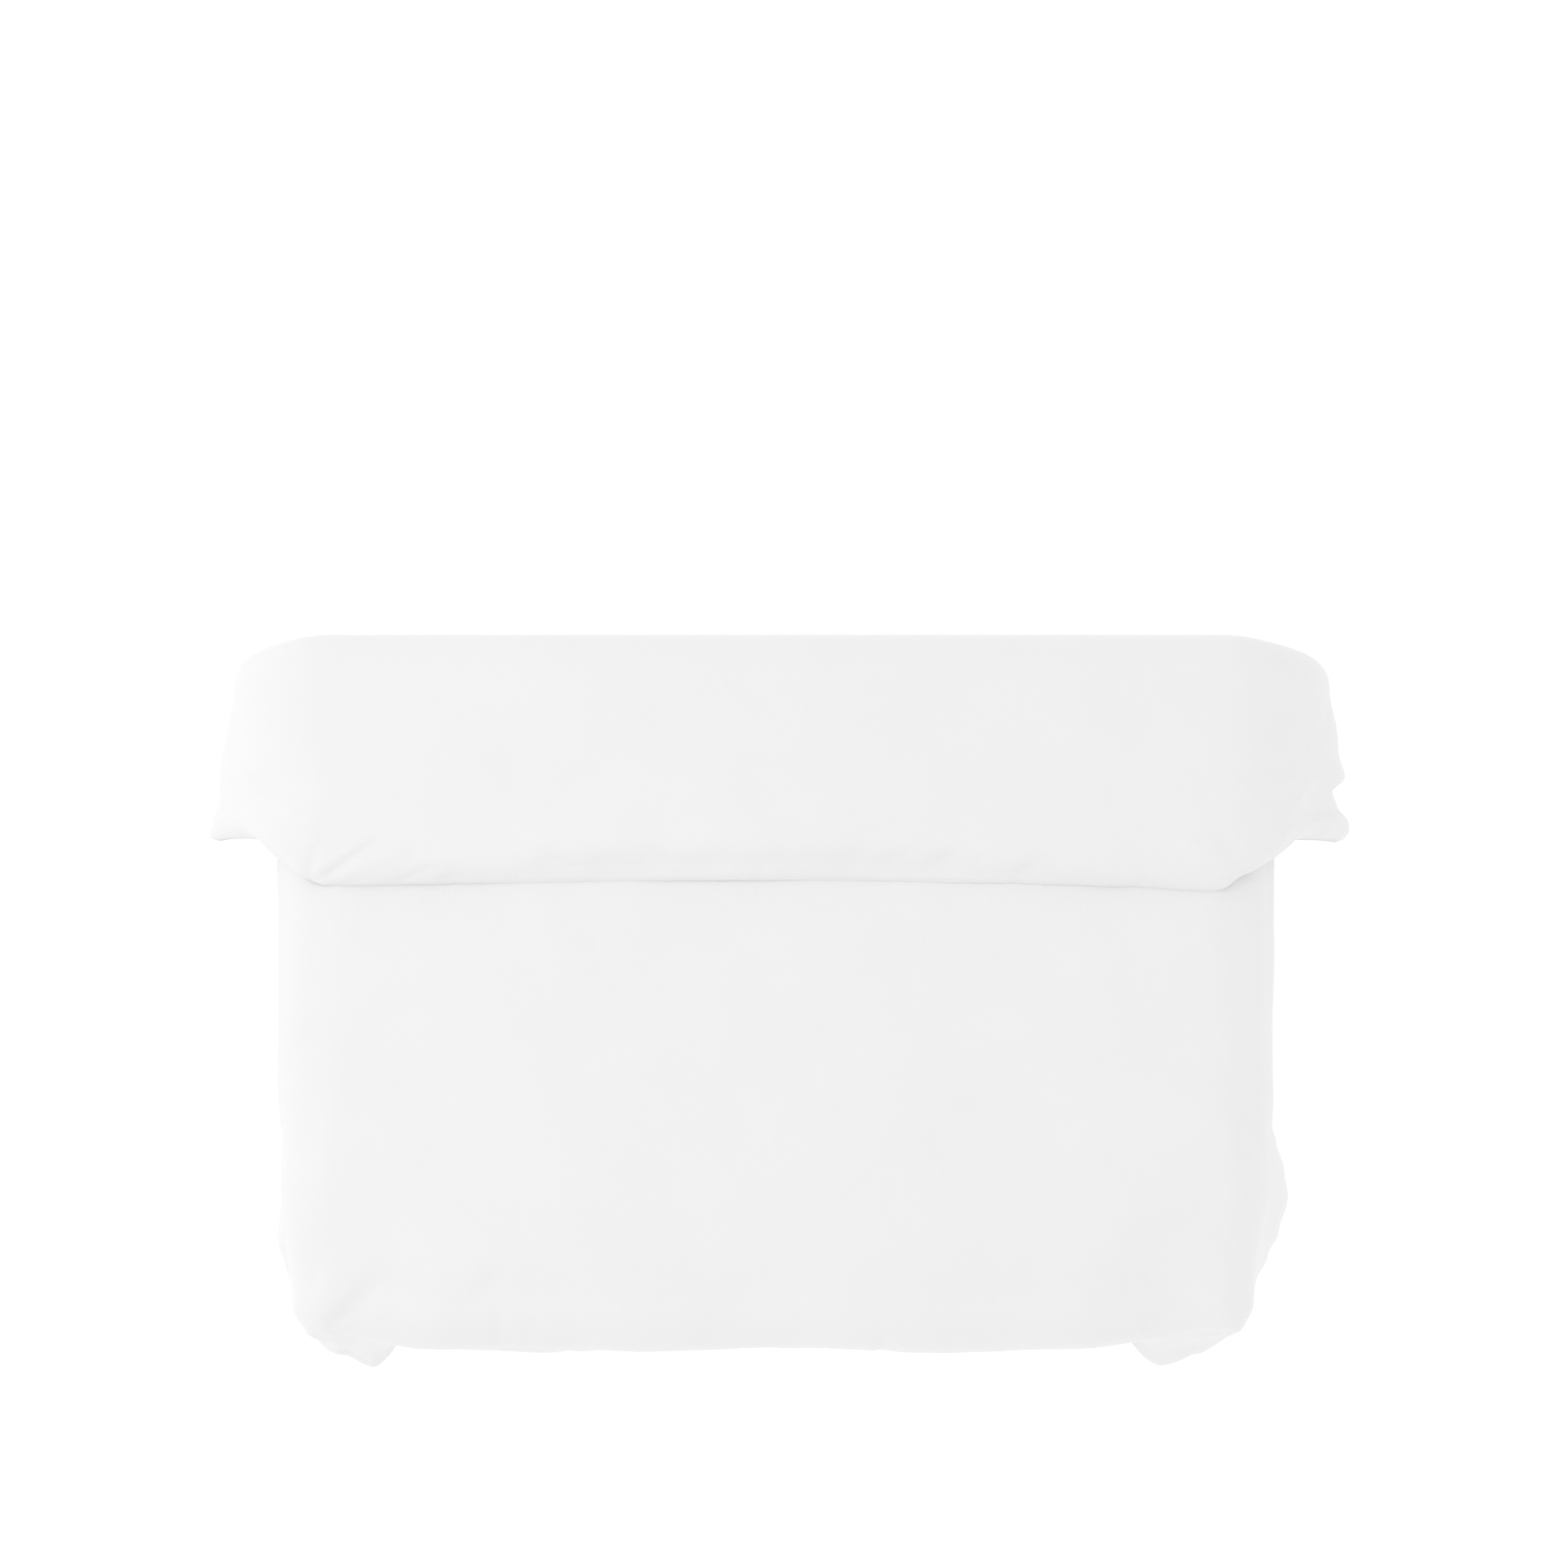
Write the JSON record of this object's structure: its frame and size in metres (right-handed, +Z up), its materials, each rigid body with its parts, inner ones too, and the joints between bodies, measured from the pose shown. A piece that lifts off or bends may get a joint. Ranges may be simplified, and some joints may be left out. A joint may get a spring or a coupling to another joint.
{
  "type": "duvet",
  "caption": "Double-bed duvet in a zipped cover, spread over a mattress with its head end turned down in a wide cuff and its sides and foot hanging.",
  "frame": {"origin": "middle of the flat underside, on the mattress top, halfway between the fold and the foot edge", "axes": "+Z up from the mattress; +Y towards the head of the bed; +X across the bed, to the right of someone looking from the foot"},
  "size_m": [1.9282, 1.2354, 0.6006],
  "materials": {
    "cover_cloth": "matte",
    "insert_cloth": "matte",
    "fill": "matte",
    "zip_tape": "matte",
    "zip_chain": "satin",
    "zip_metal": "satin",
    "tie_tape": "matte",
    "label_cloth": "satin"
  },
  "bodies": {
    "duvet": {"cover_top_panel": "cover_cloth", "cover_under_panel": "cover_cloth", "cover_top_fold": "cover_cloth", "cover_under_fold": "cover_cloth", "insert_top_panel": "insert_cloth", "insert_under_panel": "insert_cloth", "insert_top_fold": "insert_cloth", "insert_under_fold": "insert_cloth", "fill_side_left_head": "fill", "fill_side_left_mid": "fill", "fill_side_left_foot": "fill", "fill_outer_left_head": "fill", "fill_outer_left_mid": "fill", "fill_outer_left_foot": "fill", "fill_inner_left_head": "fill", "fill_inner_left_mid": "fill", "fill_inner_left_foot": "fill", "fill_middle_head": "fill", "fill_middle_mid": "fill", "fill_middle_foot": "fill", "fill_inner_right_head": "fill", "fill_inner_right_mid": "fill", "fill_inner_right_foot": "fill", "fill_outer_right_head": "fill", "fill_outer_right_mid": "fill", "fill_outer_right_foot": "fill", "fill_side_right_head": "fill", "fill_side_right_mid": "fill", "fill_side_right_foot": "fill", "fill_fold": "fill", "zip_tape_top": "zip_tape", "zip_tape_under": "zip_tape", "zip_chain_top": "zip_chain", "zip_chain_under": "zip_chain", "zip_stop_left": "zip_metal", "zip_stop_right": "zip_metal", "corner_tie_foot_left": "tie_tape", "corner_tie_foot_right": "tie_tape", "corner_loop_foot_left": "tie_tape", "corner_loop_foot_right": "tie_tape", "care_label": "label_cloth"},
    "cuff": {"cover_top_cuff": "cover_cloth", "cover_under_cuff": "cover_cloth", "insert_top_cuff": "insert_cloth", "insert_under_cuff": "insert_cloth", "fill_side_left_cuff": "fill", "fill_outer_left_cuff": "fill", "fill_inner_left_cuff": "fill", "fill_middle_cuff": "fill", "fill_inner_right_cuff": "fill", "fill_outer_right_cuff": "fill", "fill_side_right_cuff": "fill", "corner_tie_head_left": "tie_tape", "corner_tie_head_right": "tie_tape", "corner_loop_head_left": "tie_tape", "corner_loop_head_right": "tie_tape"},
    "zip_slider": {"zip_slider": "zip_metal"},
    "zip_pull": {"zip_pull": "zip_metal"}
  },
  "joints": [
    {"name": "turn_down", "type": "hinge", "parent": "duvet", "child": "cuff", "pos_m": [0, 0.563, 0.056], "axis": [-1, 0, 0], "range_deg": [0, 60], "deforming": ["cover_top_fold", "cover_under_fold", "insert_top_fold", "insert_under_fold", "fill_fold"]},
    {"name": "zip_slide", "type": "slide", "parent": "duvet", "child": "zip_slider", "axis": [1, 0, 0], "range_m": [0, 0.987]},
    {"name": "pull_swing", "type": "hinge", "parent": "zip_slider", "child": "zip_pull", "pos_m": [-0.4937, -0.593, -0.38518], "axis": [0, 1, 0], "range_deg": [-80, 80]}
  ]
}
